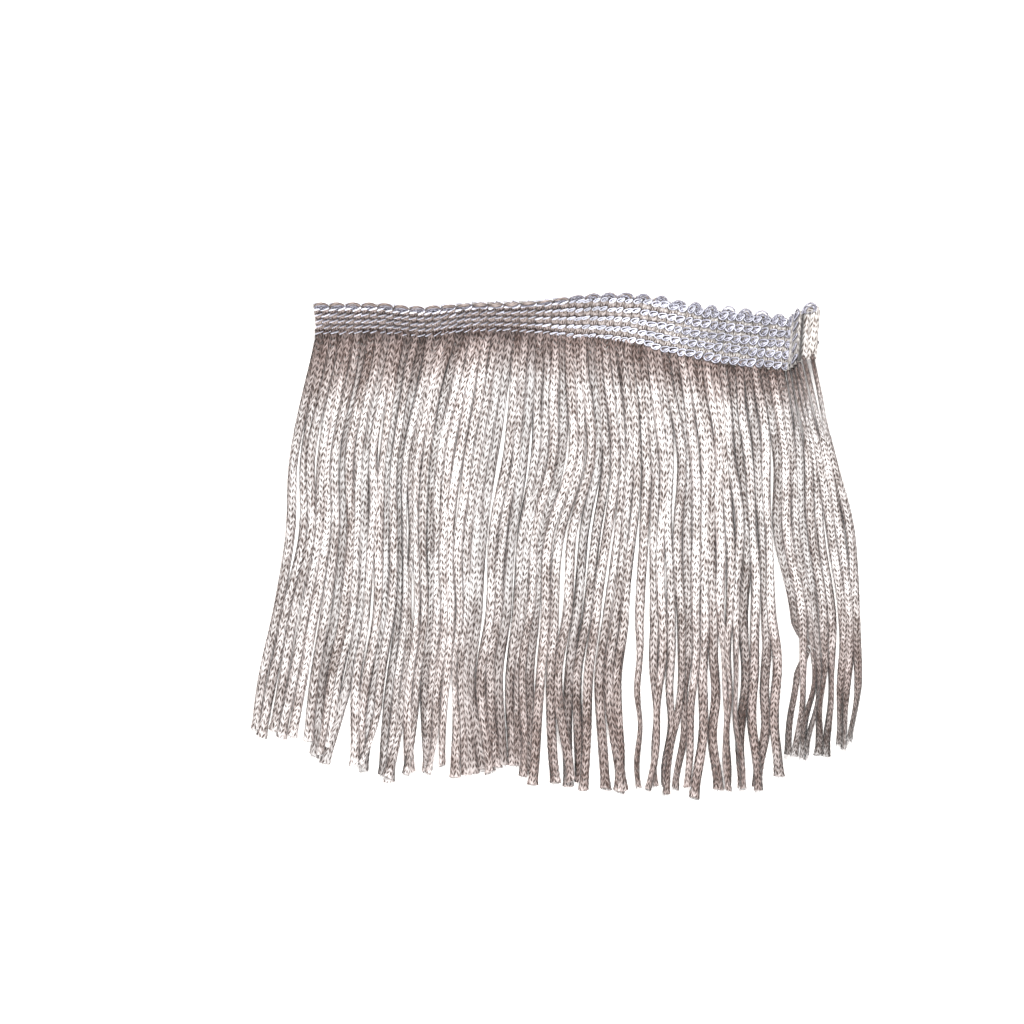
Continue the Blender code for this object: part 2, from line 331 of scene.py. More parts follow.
def silkYarn(name, look):
    # the yarn's colour on its crests and painted shade between, with fine filaments along it
    made, tree, shader = material(name)
    link = tree.links.new
    follow = node(tree, "UVMap", uv_map="stitches")
    places = node(tree, "SeparateXYZ")
    link(follow.outputs["UV"], places.inputs["Vector"])
    along = step(tree, "MULTIPLY", places.outputs["X"], look["repeats"][0])
    across = step(tree, "MULTIPLY", places.outputs["Y"], look["repeats"][1])
    spread = node(tree, "CombineXYZ")
    link(step(tree, "MULTIPLY", along, look["filaments"][0]), spread.inputs["X"])
    link(step(tree, "MULTIPLY", across, look["filaments"][1]), spread.inputs["Y"])
    fibres = node(tree, "TexNoise", Scale=1.0, Detail=2.0)
    link(spread.outputs["Vector"], fibres.inputs["Vector"])
    if look["knit"]:
        crest = knitCrests(tree, across, along, look["knit"])
    else:
        crest = node(tree, "Attribute", attribute_name="crest").outputs["Fac"]
    streaks = step(tree, "SUBTRACT", fibres.outputs["Fac"], 0.5)
    crest = step(tree, "ADD", crest, step(tree, "MULTIPLY", streaks, look["filamentContrast"]))
    crest = step(tree, "ADD", crest, node(tree, "Attribute", attribute_name="fullness").outputs["Fac"])
    colours = ramp(tree, look["crests"])
    link(crest, colours.inputs["Fac"])
    tone = node(tree, "Attribute", attribute_name="tone")
    place = node(tree, "TexCoord")
    patches = node(tree, "TexNoise", Scale=look["patchScale"], Detail=2.0)
    link(place.outputs["Object"], patches.inputs["Vector"])
    patchShade = node(tree, "MapRange")
    setSockets(patchShade, dict(zip(("From Min", "From Max"), look["patchRange"])))
    setSockets(patchShade, dict(zip(("To Min", "To Max"), look["patchShades"])))
    link(patches.outputs["Fac"], patchShade.inputs["Value"])
    dimming = node(tree, "CombineXYZ")
    dim = step(tree, "MULTIPLY", patchShade.outputs["Result"], tone.outputs["Fac"])
    # painted warm shade: a warm tint where the yarn lies in shade
    warmShade = node(tree, "Attribute", attribute_name="warmShade").outputs["Fac"]
    for channel, loss in zip("XYZ", look["shadeWarming"]):
        kept = step(tree, "SUBTRACT", 1.0, step(tree, "MULTIPLY", warmShade, loss))
        link(step(tree, "MULTIPLY", dim, kept), dimming.inputs[channel])
    shaded = node(tree, "VectorMath", operation="MULTIPLY")
    link(colours.outputs["Color"], shaded.inputs[0])
    link(dimming.outputs["Vector"], shaded.inputs[1])
    link(shaded.outputs["Vector"], shader.inputs["Base Color"])
    bump = node(tree, "Bump", Strength=look["bump"], Distance=look["bumpDepth"])
    link(crest, bump.inputs["Height"])
    link(bump.outputs["Normal"], shader.inputs["Normal"])
    setSockets(shader, {
        "Roughness": look["roughness"],
        "Specular IOR Level": look["specular"],
        "Sheen Weight": look["sheen"],
        "Sheen Roughness": look["sheenRoughness"],
    })
    return made


# the cord that all of the trim is made of, and its yarns
cord = {
    "length": 132.0,
    "stitch": 1.27,  # along the cord
    "ringsPerStitch": 3,
    "columns": 10,  # half stitches round the cord, two for each V
    "slant": 0.88,  # how far a half stitch runs on along the cord
    "relief": 0.26,  # of the stitches, as a share of the cord's radius
    "middleCrest": 0.6,  # the height of a stitch that stands at that radius
    "roundness": 0.7,
    "unevenness": 0.35,  # how much lower the lowest stitches stand
    "joint": 0.7,  # how high a V stands in its middle, as a share of its crest
    "valley": 0.45,  # and between it and the next
    "halfWidth": 0.78,
    "halfHeight": 0.5,
    "turnEvery": 140.0,  # the knitting winds round the cord once in this length
    "uncut": (1.5, 2.0),  # at least so much is left at its two ends when a piece is cut from it
    "mergeWithin": 0.001,
}
cordStitches = round(cord["length"] / cord["stitch"])
silk = {
    # the yarn's colour at full crest, darkening into painted shade in the slits between the stitches
    "crests": (
        (0.1, (0.035, 0.022, 0.017)),
        (0.36, (0.12, 0.088, 0.076)),
        (0.64, (0.35, 0.318, 0.307)),
        (1.0, (0.725, 0.712, 0.708)),
    ),
    "repeats": (float(cordStitches), float(cord["columns"])),  # stitches along and across the UV map
    "filaments": (3.2, 1.7),  # streaks in a stitch, along and across
    "filamentContrast": 0.8,
    "patchScale": 70.0,
    "patchRange": (0.3, 0.7),
    "patchShades": (0.94, 1.03),
    "shadeWarming": (0.0, 0.17, 0.21),  # of its red, green and blue, lost where painted warm shade lies
    "bump": 0.9,
    "bumpDepth": 0.0001,
    "roughness": 0.36,
    "specular": 0.5,
    "sheen": 0.2,
    "sheenRoughness": 0.4,
}
# the slits between the stitches, where shade is painted
knit = {
    "roundness": 0.72,  # of a half stitch along the cord
    "narrowness": 1.4,  # of the dark slit across it
    "depth": 1.55,  # of the slit, and how much less it may be
    "unevenness": 0.85,
    "dullness": 0.36,  # of the dullest stitches
    "dullShuffle": 7.3,  # so that these aren't always the shallow ones
    "drift": 0.9,  # how far the stitches shift along the cord, and how fast that changes
    "driftScale": 0.6,
}
chainetteSilk = silkYarn("chainetteSilk", {**silk, "knit": knit})
frayedSilk = silkYarn("frayedSilk", {**silk, "knit": None, "repeats": (4.0, 4.0)})
headingSilk = silkYarn("headingSilk", {
    **silk,
    # the heading's yarn at full crest, darkening into painted shade between the stitches
    "crests": (
        (0.1, (0.04, 0.026, 0.02)),
        (0.36, (0.16, 0.12, 0.103)),
        (0.64, (0.36, 0.325, 0.302)),
        (1.0, (0.68, 0.66, 0.642)),
    ),
    "knit": knit,
})
pillarSilk = silkYarn("pillarSilk", {
    **silk,
    # lilac on the yarns' tops, darkening into painted shade on their lower sides
    "crests": ((0.05, (0.04, 0.034, 0.045)), (0.45, (0.24, 0.23, 0.29)), (0.95, (0.66, 0.67, 0.76))),
    "knit": None,
    "repeats": (16.0, 4.0),
    "filaments": (0.3, 3.0),
    "filamentContrast": 1.1,
    "bumpDepth": 0.00005,
    "roughness": 0.34,
})
print("materials made")


# the chainette cord: a knitted tube, modelled once, then cut and bent for every use
def knitCord():
    rings = cordStitches * cord["ringsPerStitch"]
    sides = cord["columns"] * 2
    bpy.ops.mesh.primitive_grid_add(x_subdivisions=rings, y_subdivisions=sides, size=2, calc_uvs=True)
    piece = newPiece()
    flat = pointsOf(piece)
    ring = np.round((flat[:, 0] + 1) / 2 * rings)
    side = np.round((flat[:, 1] + 1) / 2 * sides)
    # each V column starts a little later than the last, as it is knitted in a spiral
    phase = ring / cord["ringsPerStitch"] + (side // 4) / (cord["columns"] / 2)
    evenness = 1 - cord["unevenness"] * stitchChance.random((rings + 2, cord["columns"]))
    stitches = np.sin(np.pi * (phase % 1)) ** cord["roundness"]
    stitches = stitches * evenness[phase.astype(int), (side // 2).astype(int) % cord["columns"]]
    crest = np.where(side % 2 == 1, stitches, np.where(side % 4 == 2, cord["joint"], cord["valley"]))
    along = ring / cord["ringsPerStitch"] * cord["stitch"]
    along = along + cord["slant"] * (1 - np.abs(side % 4 - 2) / 2)
    angle = 2 * np.pi * (side / sides + along / cord["turnEvery"])
    radius = 1 + cord["relief"] * (crest - cord["middleCrest"])
    movePoints(piece, np.column_stack((along, radius * np.cos(angle), radius * np.sin(angle))))
    mark(piece, "tone", 1.0)
    faceOut(piece, cord["mergeWithin"])
    smooth(piece)
    piece.data.materials.append(chainetteSilk)
    piece.name = "cordMaster"
    return piece


def cutCord(length, slope, tone, roll, stretch, back=False):
    # a length of the cord, rolled, flattened and stretched, cut square at its start and slanting
    # at its end; back takes it from the cord the other way round
    length = length / stretch
    start = chance.uniform(cord["uncut"][0], cord["length"] - length - cord["uncut"][1])
    piece = copyOf(cordMaster)
    chosen(piece)
    bpy.ops.object.mode_set(mode="EDIT")
    bpy.ops.mesh.select_all(action="SELECT")
    first, last = (slope, 0) if back else (0, slope)
    bpy.ops.mesh.bisect(plane_co=(start, 0, 0), plane_no=(1, first, 0), clear_inner=True, use_fill=True)
    bpy.ops.mesh.select_all(action="SELECT")
    end = (start + length, 0, 0)
    bpy.ops.mesh.bisect(plane_co=end, plane_no=(1, last, 0), clear_outer=True, use_fill=True)
    bpy.ops.object.mode_set(mode="OBJECT")
    flat = Matrix.Diagonal((stretch, cord["halfWidth"], cord["halfHeight"], 1))
    placed = Matrix.Translation((-start, 0, 0))
    if back:
        placed = Matrix.Rotation(math.pi, 4, "Z") @ Matrix.Translation((-start - length, 0, 0))
    piece.data.transform(flat @ Matrix.Rotation(roll, 4, "X") @ placed)
    mark(piece, "tone", tone)
    return piece


def bendAlong(piece, places, tilts, radii):
    # the cord's own X follows the places, with a tilt and a size at each
    route = bpy.data.curves.new("route", "CURVE")
    route.dimensions = "3D"
    route.twist_mode = "Z_UP"
    spline = route.splines.new("POLY")
    spline.points.add(len(places) - 1)
    spline.points.foreach_set("co", np.column_stack((places, np.ones(len(places)))).ravel())
    spline.points.foreach_set("tilt", tilts)
    spline.points.foreach_set("radius", radii)
    guide = added(bpy.data.objects.new("route", route))
    applied(piece, "CURVE", object=guide, deform_axis="POS_X")
    bpy.data.objects.remove(guide)
    bpy.data.curves.remove(route)


cordMaster = knitCord()
print("cord knitted:", len(cordMaster.data.vertices), "points")


# the strands: a cut cord for each, lying on the surface in its lock
fringe = {
    "heights": (18.3, 2.1, -14.0, -27.6),  # where the locks' edges are given, above the tips
    # how many strands, the lock's left and right edge at each height and at the tips, and the
    # heights of the first and last tip
    "locks": (
        (1, (-53.4, -52.2), (-54.6, -53.1), (-57.1, -55.9), (-60.0, -58.7), (-61.3, -60.1), (-36.9, -36.9)),
        (2, (-51.4, -48.4), (-52.0, -49.0), (-55.5, -52.2), (-58.1, -54.9), (-59.9, -56.9), (-38.5, -37.9)),
        (3, (-48.0, -43.6), (-48.8, -44.1), (-52.0, -45.6), (-54.3, -48.3), (-56.9, -49.9), (-38.1, -41.1)),
        (3, (-43.5, -39.1), (-43.8, -39.7), (-45.4, -40.5), (-48.2, -43.5), (-49.8, -46.1), (-42.3, -41.1)),
        (2, (-39.0, -36.1), (-39.6, -36.7), (-40.3, -37.9), (-43.0, -39.5), (-47.4, -41.7), (-44.1, -44.3)),
        (3, (-35.9, -32.3), (-36.6, -32.1), (-37.1, -32.8), (-39.0, -34.4), (-40.7, -36.9), (-45.8, -44.5)),
        (4, (-32.2, -27.3), (-32.0, -27.8), (-32.5, -27.8), (-34.2, -28.8), (-36.5, -29.0), (-47.6, -47.2)),
        (5, (-27.2, -19.2), (-27.7, -20.5), (-27.7, -20.9), (-28.6, -21.7), (-28.9, -22.5), (-47.4, -44.9)),
        (4, (-18.7, -11.8), (-20.3, -14.2), (-20.3, -15.2), (-21.3, -16.7), (-22.1, -14.6), (-47.6, -44.5)),
        (3, (-10.7, -5.7), (-13.6, -8.2), (-14.4, -9.4), (-16.2, -10.8), (-14.2, -9.6), (-46.2, -44.9)),
        (4, (-5.2, 1.9), (-7.6, -2.4), (-8.8, -3.6), (-10.0, -4.7), (-9.4, -3.9), (-44.3, -47.4)),
        (2, (2.1, 5.6), (-2.1, 1.8), (-3.3, 0.7), (-4.3, -0.7), (-3.7, 0.1), (-48.4, -48.0)),
        (4, (5.8, 12.4), (2.0, 11.6), (1.1, 9.2), (-0.5, 7.0), (0.7, 7.2), (-48.8, -49.2)),
        (3, (12.5, 17.3), (11.8, 15.9), (9.4, 14.2), (7.8, 13.0), (8.2, 15.1), (-49.4, -49.4)),
        (1, (17.4, 18.7), (16.5, 18.5), (16.2, 17.5), (16.0, 17.2), (15.7, 16.9), (-48.8, -48.8)),
        (3, (18.8, 23.7), (19.1, 23.2), (18.9, 23.7), (19.0, 23.7), (18.9, 22.6), (-49.0, -49.8)),
        (3, (23.9, 28.9), (23.9, 28.9), (24.3, 28.6), (23.9, 28.4), (22.7, 27.2), (-49.6, -49.8)),
        (2, (29.0, 31.8), (29.1, 31.9), (28.9, 32.4), (28.7, 32.9), (27.8, 32.8), (-50.4, -49.8)),
        (3, (31.9, 36.0), (32.2, 37.5), (32.6, 36.6), (33.2, 36.5), (32.9, 36.3), (-49.8, -49.2)),
        (2, (36.1, 39.3), (37.7, 40.4), (36.7, 40.7), (36.8, 41.1), (36.4, 39.5), (-49.2, -49.2)),
        (2, (39.6, 42.8), (40.8, 43.2), (41.3, 44.5), (41.4, 45.2), (39.9, 43.9), (-49.0, -47.0)),
        (1, (43.7, 45.1), (44.0, 45.4), (47.4, 48.6), (47.6, 48.8), (45.8, 47.2), (-42.3, -42.3)),
        (1, (45.2, 46.8), (46.0, 47.3), (48.8, 50.1), (48.9, 50.2), (47.4, 48.8), (-42.7, -42.7)),
        (2, (47.0, 49.6), (47.7, 50.6), (50.4, 52.6), (51.2, 53.3), (48.9, 51.8), (-43.3, -43.1)),
        (2, (49.7, 52.2), (50.8, 53.8), (53.0, 56.3), (53.4, 55.9), (51.9, 55.3), (-43.3, -41.7)),
        (3, (52.3, 55.9), (54.4, 60.1), (56.9, 61.0), (56.8, 61.1), (55.4, 59.3), (-41.1, -39.7)),
    ),
    "rootBelow": 0.95,  # where a strand comes level with the surface, below the heading's edge
    "rootHeight": 0.5,  # where it starts, up inside the heading
    "rootDepth": 0.8,  # off the heading's back
    "freeLength": 6.0,  # over which it comes free of the heading
    "descent": 24.0,  # over which a strand of the raised end comes down to the surface
    "tipUnevenness": 0.5,
    "endSpread": 0.8,  # how much longer or shorter than its place a strand may be
    "tipSlope": 0.45,  # of the cut
    "raisedShare": 0.45,  # of the strands, that ride on their neighbours
    # for the others and for them; the tones differ at random, the others' reaching darker as painted shade
    # under the raised ones
    "tones": ((0.66, 1.06), (0.9, 1.14)),
    "fills": (1.5, 1.28),  # how much wider than their places they are
    "layers": (0.0, 0.6),  # how far they are raised, and how much more in places
    "rides": (0.1, 0.45),
    "wanders": (0.14, 0.42),  # sideways
    "sways": (1.0, 2.7),  # at the tips, at the most
    # the least and most length that sways, how bent it is and how far the raised ones lift
    "swayLengths": (10, 28),
    "swayCurve": 1.5,
    "swayLift": 0.35,
    # right of here the strands stand apart towards their tips, over this length
    "openFrom": 14.0,
    "openLength": 20.0,
    "openFill": 1.0,
    "openWander": 0.4,
    "tipFill": 0.86,  # how much narrower the others get at their tips, over this length
    "tipFillLength": 25.0,
    "sizes": (0.93, 1.25),  # the least and the most
    "reliefShare": 0.4,  # of its stitches, that a strand is raised by
    "turning": 0.3,  # how far a strand turns one way and the other along its length, in radians
    "stretches": (0.94, 1.13),  # of its stitches
    "slackPlaces": (38.0, 48.0),  # between these places along X they turn slack and short
    "slacks": (1.0, 0.8),
    "flare": 1.25,  # the cut end, where a strand is wider and lighter
    "flareLength": 1.8,
    "endFullness": 0.22,
    "fullness": (-0.1, 0.12),  # how little dark shows between its stitches, and how that drifts
    "fullnessDrift": 0.06,
    # how much painted shade darkens it towards its tip, at these places along X, from this height on
    "tipShades": (0.1, 0.42, 0.5, 0.66),
    "tipShadePlaces": (-35.0, -10.0, 38.0, 50.0),
    "tipShadeFrom": -8.0,
    "tipShadeLength": 30.0,
    "tipShadeDimming": 0.55,  # how much of that painted shade dims its tone, darkens between the stitches, and warms it
    "tipShadeInStitches": 0.42,
    "tipWarmShade": 1.5,
    "coolPlaces": (40.0, 48.0),  # between these places along X the painted warm shade leaves the tips
    "coolLength": 13.0,
    # under the heading, painted shade: on its tone, dark between the stitches, and how far down at these
    # places along X
    "rootShade": 0.4,
    "rootShadeInStitches": 0.26,
    "rootShadeLengths": (15.0, 8.5),
    "rootShadePlaces": (-42.0, -15.0),
    # painted shade along its sides: full up to the first part of its height, gone from the second on
    "sideShades": (0.45, 1.0),
    "rootSideShade": 0.35,  # how much more under the heading
    "sideFrom": 0.2,
    "sideTo": 0.85,
    "sideWarmShade": 0.7,
    # the shortest and the longest of its waves
    "turningWaves": (14, 40),
    "shortWaves": (22, 40),
    "longWaves": (45, 80),
    "openWaves": (14, 30),
    "rideWaves": (30, 60),
    "fullnessWaves": (12, 40),
    "placesPerStrand": 80,
    "pieces": 4,
}
rootPitch = tape["length"] / sum(lock[0] for lock in fringe["locks"])
# one strand swings aside and back, and the next lies over it there
kink = {
    "strand": 59,
    "height": -21.1,
    "swing": 2.1,
    "span": 6.0,
    "coverRise": 1.3,
    "coverSpan": 10.0,
    "frayed": 1.5,  # the frayed end at its corner: how large, how far aside and which way
    "frayedAside": 0.3,
    "frayedWay": (0.5, -1.0, 0.2),
}


def strandRoutes():
    tips = random.Random(seeds["tips"])
    routes = []
    for count, *edges, (firstTip, lastTip) in fringe["locks"]:
        for place in range(count):
            share = (place + 0.5) / count
            along = (len(routes) + 0.5) * rootPitch
            start = onTape(along, fringe["rootHeight"], fringe["rootDepth"])
            turn = np.interp(spaced(along), lineLengths, lineTurn)
            root = np.array([
                np.interp(spaced(along), lineLengths, linePoints[:, axis]) for axis in range(3)
            ])
            root -= np.array((math.sin(turn), math.cos(turn), 0)) * fringe["rootBelow"]
            tip = firstTip + (lastTip - firstTip) * share
            tip += tips.uniform(-fringe["tipUnevenness"], fringe["tipUnevenness"])
            tip += chance.uniform(-fringe["endSpread"], fringe["endSpread"])
            middles = [root[0]] + [left + (right - left) * share for left, right in edges]
            slots = [rootPitch if root[2] <= 0 else 0.0]
            slots += [(right - left) / count for left, right in edges]
            heights = [root[1], *fringe["heights"], tip]
            routes.append((start, root, heights, middles, slots))
    return routes


def slowWave(low, high):
    # a gentle random wave along a strand, between -1 and 1
    length, shift = chance.uniform(low, high), chance.uniform(0, math.tau)
    return lambda along: np.sin(along / length * math.tau + shift)


def makeStrand(number, route):
    start, root, heights, middles, slots = route
    y = np.linspace(root[1], heights[-1], fringe["placesPerStrand"])
    falling = [-height for height in heights]
    x = through(falling, middles, -y)
    slot = through(falling, slots, -y)
    free = growing(root[1] - y, fringe["freeLength"])
    raised = int(chance.random() < fringe["raisedShare"])
    # the flat cord stands more on its edge where its place is narrow, and is spread where it is wide
    below = fringe["heights"][2] - y
    apart = growing(below, fringe["openLength"]) * (x[-1] > fringe["openFrom"])
    fill = fringe["fills"][raised]
    fill = fill * (1 + (fringe["tipFill"] - 1) * growing(below, fringe["tipFillLength"]))
    half = slot / 2 * (fill + (fringe["openFill"] - fill) * apart)
    widest, narrowest = cord["halfWidth"], cord["halfHeight"]
    size = np.clip(half / widest, *fringe["sizes"])
    size = size * (1 + (fringe["flare"] - 1) * fading(y - heights[-1], fringe["flareLength"]))
    half = np.clip(half, narrowest, widest)
    tilt = np.arccos(np.sqrt((half**2 - narrowest**2) / (widest**2 - narrowest**2)))
    turning = fringe["turning"] * free * slowWave(*fringe["turningWaves"])(y)
    tilt = (tilt + turning) * chance.choice((-1, 1))
    high = np.sqrt((widest * np.sin(tilt)) ** 2 + (narrowest * np.cos(tilt)) ** 2)
    high = high * size * (1 + cord["relief"] * fringe["reliefShare"])
    fall = growing(root[1] - y, fringe["descent"])
    rise = root[2] * (1 - fall) ** 2 * (1 + 2 * fall)
    wander = slowWave(*fringe["shortWaves"])(y) + slowWave(*fringe["longWaves"])(y)
    x = x + fringe["wanders"][raised] * free * wander / 2
    x = x + fringe["openWander"] * apart * slowWave(*fringe["openWaves"])(y)
    ride = fringe["rides"][raised] * (0.5 + 0.5 * slowWave(*fringe["rideWaves"])(y))
    rise = rise + free * (fringe["layers"][raised] + ride)
    if number in (kink["strand"], kink["strand"] + 1):
        near = bell(y - kink["height"], kink["coverSpan"])
        if number == kink["strand"]:
            x = x + kink["swing"] * bell(y - kink["height"], kink["span"])
            rise = rise * (1 - near)
            corner = np.argmin(np.abs(y - kink["height"]))
            frayedAt = (x[corner] + kink["frayedAside"], y[corner], high[corner] * 2)
            tuftAt(frayedAt, kink["frayedWay"], kink["frayed"])
        else:
            rise = rise + kink["coverRise"] * near
    else:
        # its tip sways to one side, and the raised ones may cross their neighbours
        sway = chance.uniform(-1, 1) * fringe["sways"][raised]
        swung = fading(y - heights[-1], chance.uniform(*fringe["swayLengths"])) ** fringe["swayCurve"]
        x = x + sway * swung
        rise = rise + abs(sway) * fringe["swayLift"] * swung * raised
    places = np.vstack((start, np.column_stack((x, y, rise + high))))
    slope = chance.uniform(-fringe["tipSlope"], fringe["tipSlope"])
    tone, roll = chance.uniform(*fringe["tones"][raised]), chance.uniform(0, math.tau)
    stretch = chance.uniform(*fringe["stretches"])
    stretch = stretch * np.interp(x[-1], fringe["slackPlaces"], fringe["slacks"])
    strand = cutCord(lengthsBetween(places).sum(), slope, tone, roll, stretch, number % 2 == 1)
    bendAlong(strand, places, np.append(tilt[0], tilt), np.append(size[0], size))
    # its painted shade: darker at the tip, under the heading and down its sides
    shape = pointsOf(strand)
    at = -shape[:, 1]
    low = growing(fringe["tipShadeFrom"] + at, fringe["tipShadeLength"])
    shadeLength = np.interp(root[0], fringe["rootShadePlaces"], fringe["rootShadeLengths"])
    near = fading(root[1] + at, shadeLength)
    up = (shape[:, 2] - np.interp(at, -y, rise + high)) / np.interp(at, -y, high)
    side = 1 - growing(up - fringe["sideFrom"], fringe["sideTo"] - fringe["sideFrom"])
    sideShade = np.minimum(chance.uniform(*fringe["sideShades"]) + fringe["rootSideShade"] * near, 1)
    tipShade = np.interp(x[-1], fringe["tipShadePlaces"], fringe["tipShades"])
    shade = (1 - tipShade * fringe["tipShadeDimming"] * low) * (1 - fringe["rootShade"] * near)
    mark(strand, "tone", tone * (shade * (1 - sideShade * side)))
    # the painted warm shade at the root, tip and sides, taken off the tips at the right end
    cool = np.interp(x[-1], fringe["coolPlaces"], (0, 1)) * fading(-at - heights[-1], fringe["coolLength"])
    warmShade = np.clip(near + tipShade * fringe["tipWarmShade"] * low + fringe["sideWarmShade"] * side, 0, 1)
    mark(strand, "warmShade", warmShade * (1 - cool))
    # how little dark shows between its stitches: at random, less with the painted shade at the tip and
    # under the heading, more at the cut end
    full = chance.uniform(*fringe["fullness"])
    full = full + fringe["fullnessDrift"] * slowWave(*fringe["fullnessWaves"])(at)
    full = full - tipShade * fringe["tipShadeInStitches"] * low - fringe["rootShadeInStitches"] * near
    full = full + fringe["endFullness"] * fading(-at - heights[-1], fringe["flareLength"])
    mark(strand, "fullness", full)
    tuftAt(places[-1], places[-1] - places[-2])
    return strand


# the filaments that stand out of a cut end, modelled once
tuft = {
    "filaments": 16,
    "thick": 0.09,
    "thin": 0.01,
    "lengths": (0.7, 1.3),
    "inside": 0.3,  # how much of them lies in the cord
    "spread": 0.35,  # in radians, to each side
    "acrossShare": 0.85,  # of the cord's width and height, that they fill
    "highShare": 0.7,
    "crest": 0.9,
    "sizes": (0.8, 1.2),
}
tufts = []


def makeTuft():
    filaments = []
    for _ in range(tuft["filaments"]):
        length = chance.uniform(*tuft["lengths"])
        bpy.ops.mesh.primitive_cone_add(
            vertices=3, radius1=tuft["thick"], radius2=tuft["thin"], depth=length)
        filament = newPiece()
        filament.data.transform(Matrix.Translation((0, 0, length / 2 - tuft["inside"])))
        filament.data.transform(Matrix.Rotation(math.radians(90), 4, "Y"))
        for axis in "ZY":
            filament.data.transform(Matrix.Rotation(chance.uniform(-1, 1) * tuft["spread"], 4, axis))
        across = chance.uniform(-1, 1) * cord["halfWidth"] * tuft["acrossShare"]
        high = chance.uniform(-1, 1) * cord["halfHeight"] * tuft["highShare"]
        filament.data.transform(Matrix.Translation((0, across, high)))
        filaments.append(filament)
    whole = joined(filaments, "tuftMaster")
    mark(whole, "crest", tuft["crest"])
    mark(whole, "tone", 1.0)
    whole.data.materials.append(frayedSilk)
    return whole


def tuftAt(place, way, size=1.0):
    twin = copyOf(tuftMaster)
    turned = Vector(way).to_track_quat("X", "Z").to_matrix().to_4x4()
    rolled = Matrix.Rotation(chance.choice((0, math.pi)), 4, "X")
    sized = Matrix.Scale(size * chance.uniform(*tuft["sizes"]), 4)
    twin.data.transform(Matrix.Translation(place) @ turned @ rolled @ sized)
    tufts.append(twin)


tuftMaster = makeTuft()
strands = [makeStrand(number, route) for number, route in enumerate(strandRoutes())]
perPiece = len(strands) // fringe["pieces"]
fringePieces = [
    joined(strands[number * perPiece:(number + 1) * perPiece], f"strands{number + 1}")
    for number in range(fringe["pieces"])
]
cutEnds = joined(tufts, "cutEnds")
bpy.data.objects.remove(tuftMaster)
print("strands laid out:", len(strands))


# the heading: the cord's legs with their picots, the ground that holds them, and the chain pillars
pillars = {
    "rows": 5,
    "firstRow": 0.5,
    "lastRow": 9.2,
    "yarn": 0.19,  # its radius, and how many points are round a loop and round its yarn
    "segments": 14,
    "sides": 5,
    # each loop's yarns from the outer one: half length, half width, how far down it lies
    "yarns": ((1.08, 0.83, 0.0), (0.68, 0.3, 0.15)),
    "farNarrowing": 0.3,  # of a loop's far end
    "frontDepth": 1.42,
    "backDepth": 0.45,
    "turn": 40,  # degrees that a loop leans across the row, and how much that differs
    "turnJitter": 14,
    "dive": 5,  # degrees that its far end goes down under the next
    "sink": 18,  # degrees that its upper side goes down between the legs
    # painted shade on that sunk side
    "sunkShade": 0.36,
    # painted shade where the next stitch crosses a loop: how much, the angle from its far end and the span,
    # in radians
    "crossShade": 0.6,
    "crossAngle": 2.3,
    "crossSpan": 0.7,
    "jitter": 0.16,
    "depthJitter": 0.5,  # as a share of that
    "tones": (0.68, 1.08),
    # how much narrower and shorter the loops are drawn where the tape stands up
    "leanNarrowing": 0.7,
    "leanShortening": 0.14,
    # how far their upper sides come up again there, and how much painted light brightens their crests and
    # their tone
    "leanRise": 0.9,
    "leanCrestLight": 1.0,
    "leanLight": 0.36,
    "garland": 0.12,  # how far a row rises over each picot
    "topGarland": 0.34,
    "bareLegs": 5,  # at the curled end, without front chains but for the third from the end
    "lastFrom": 3,
    "shade": 0.66,  # painted shade on what lies under a row, out to the span
    "shadeSpan": 0.85,
}
rowHeights = np.linspace(pillars["firstRow"], pillars["lastRow"], pillars["rows"])


def underRows(height):
    # painted shade on what lies under the rows
    nearest = np.abs(np.asarray(height)[:, None] - rowHeights).min(1)
    return 1 - pillars["shade"] * bell(nearest, pillars["shadeSpan"])


# the legs of the cord, which turn at each picot
legs = {
    "foot": -0.5,
    "top": 8.9,  # where the cord starts to turn back
    "depth": 0.85,
    "size": 1.08,
    "flatness": 0.75,  # of their thickness, as the pillars press them flat
    "turnSteps": 14,
    "risePlaces": 12,
    "roll": 0.4,
    "tones": (0.86, 1.02),
    "leanShade": 0.3,  # painted shade where the tape stands up, and the same on their turns
    "topShade": 0.5,
    "gapBefore": 1.6,  # the gap at the curled end, painted in shade, in legs from the end
    "gapShade": 0.95,
    "gapSpan": 0.6,
}


